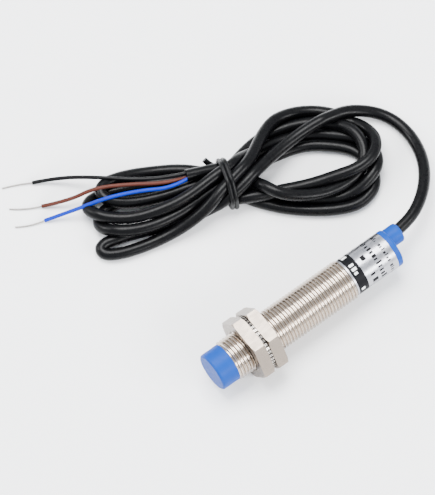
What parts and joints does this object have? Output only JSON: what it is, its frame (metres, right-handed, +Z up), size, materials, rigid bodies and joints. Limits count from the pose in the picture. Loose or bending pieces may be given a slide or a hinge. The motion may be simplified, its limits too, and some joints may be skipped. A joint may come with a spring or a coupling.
{
  "type": "inductive proximity sensor",
  "caption": "Threaded barrel proximity sensor with a plastic sensing head, clamping nuts, toothed lock washers and a tied hank of three-core cable with bare wire ends.",
  "frame": {"origin": "centre of the sensing face", "axes": "+X along the barrel towards the cable, -X is the sensing direction, +Z up with the nuts' lower flats on the floor, +Y to the side that the cable outlet is offset to"},
  "size_m": [0.1021, 0.0895, 0.017],
  "materials": {
    "blue_plastic": "moulded, satin",
    "ferrite": "matt",
    "bobbin_plastic": "matt",
    "copper_wire": "enamelled",
    "board_green": "solder mask",
    "chip_black": "moulded, matt",
    "resistor_black": "matt",
    "capacitor_tan": "satin",
    "led_red": "clear tinted",
    "epoxy": "cast, glossy",
    "tin_plate": "tinned, satin",
    "nickel_plate": "nickel plate, bright",
    "washer_steel": "plated",
    "label_foil": "printed foil, satin",
    "cable_jacket": "PVC, satin",
    "tie_black": "plastic, satin",
    "wire_black": "PVC, satin",
    "wire_brown": "PVC, satin",
    "wire_blue": "PVC, satin"
  },
  "bodies": {
    "sensor": {"sensing_cap": "blue_plastic", "ferrite_core": "ferrite", "coil_bobbin": "bobbin_plastic", "coil_winding": "copper_wire", "coil_leads": "copper_wire", "circuit_board": "board_green", "oscillator_chip": "chip_black", "chip_legs": "tin_plate", "output_transistor": "chip_black", "protection_diode": "chip_black", "chip_resistors": "resistor_black", "chip_capacitors": "capacitor_tan", "indicator_led": "led_red", "solder_joints": "tin_plate", "core_brown": "wire_brown", "core_blue": "wire_blue", "core_black": "wire_black", "cable_clamp": "tin_plate", "potting": "epoxy", "barrel": "nickel_plate", "label_sleeve": "label_foil", "rear_cap": "blue_plastic", "cable_lead": "cable_jacket", "cable_hank": "cable_jacket", "cable_tail": "cable_jacket", "cable_tie": "tie_black", "wire_black": "wire_black", "wire_brown": "wire_brown", "wire_blue": "wire_blue", "conductor_black": "tin_plate", "conductor_brown": "tin_plate", "conductor_blue": "tin_plate"},
    "front_washer_body": {"front_lock_washer": "washer_steel"},
    "front_nut_body": {"front_nut": "nickel_plate"},
    "rear_washer_body": {"rear_lock_washer": "washer_steel"},
    "rear_nut_body": {"rear_nut": "nickel_plate"}
  },
  "joints": [
    {"name": "front_washer_slide", "type": "slide", "parent": "sensor", "child": "front_washer_body", "axis": [1, 0, 0], "range_m": [-0.005, 0]},
    {"name": "front_nut_screw", "type": "hinge", "parent": "front_washer_body", "child": "front_nut_body", "pos_m": [0.01234, 0, 0], "axis": [1, 0, 0], "range_deg": [-1800, 0]},
    {"name": "rear_washer_slide", "type": "slide", "parent": "sensor", "child": "rear_washer_body", "axis": [1, 0, 0], "range_m": [0, 0.025]},
    {"name": "rear_nut_screw", "type": "hinge", "parent": "rear_washer_body", "child": "rear_nut_body", "pos_m": [0.01688, 0, 0], "axis": [1, 0, 0], "range_deg": [0, 9000]}
  ],
  "couplings": [
    {"joint": "front_washer_slide", "follows": "front_nut_screw", "m_per_rad": 0.00015915},
    {"joint": "rear_washer_slide", "follows": "rear_nut_screw", "m_per_rad": 0.00015915}
  ]
}
